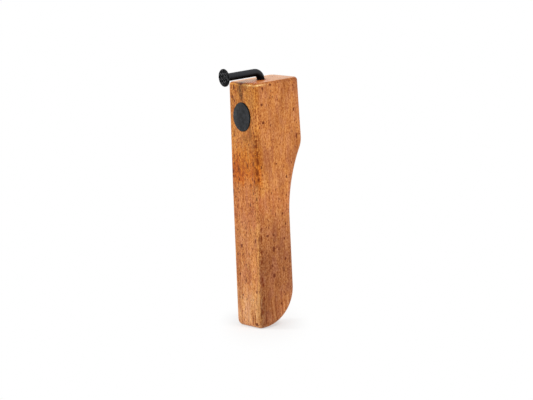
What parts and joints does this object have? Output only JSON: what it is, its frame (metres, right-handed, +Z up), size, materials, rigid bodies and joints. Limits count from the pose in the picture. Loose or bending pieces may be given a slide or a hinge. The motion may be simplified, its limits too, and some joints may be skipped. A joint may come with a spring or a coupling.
{
  "type": "bottle opener",
  "caption": "Upright hardwood lever opener whose bent nail hooks under a crown cap, with a disc magnet in the front of its head to catch the cap and one in the back to park it.",
  "frame": {"origin": "on the floor, in the middle of the opener's bounding box, with the middle of the wood at X = 0", "axes": "+Z up the lever, which stands on the end of its handle with the nail on top; -Y out of the front face that bears on the crown cap; X across the sides"},
  "size_m": [0.0236, 0.0414, 0.135],
  "materials": {
    "hardwood": "oiled orange-brown hardwood, satin, with short dark pores along the grain",
    "black_steel": "satin black coating on steel wire",
    "magnet_coat": "matt charcoal coating",
    "cured_epoxy": "clear amber adhesive"
  },
  "bodies": {
    "root": {"wooden_handle": "hardwood", "bent_nail": "black_steel", "front_magnet": "magnet_coat", "rear_magnet": "magnet_coat", "nail_adhesive": "cured_epoxy", "front_magnet_adhesive": "cured_epoxy", "rear_magnet_adhesive": "cured_epoxy"}
  },
  "joints": []
}
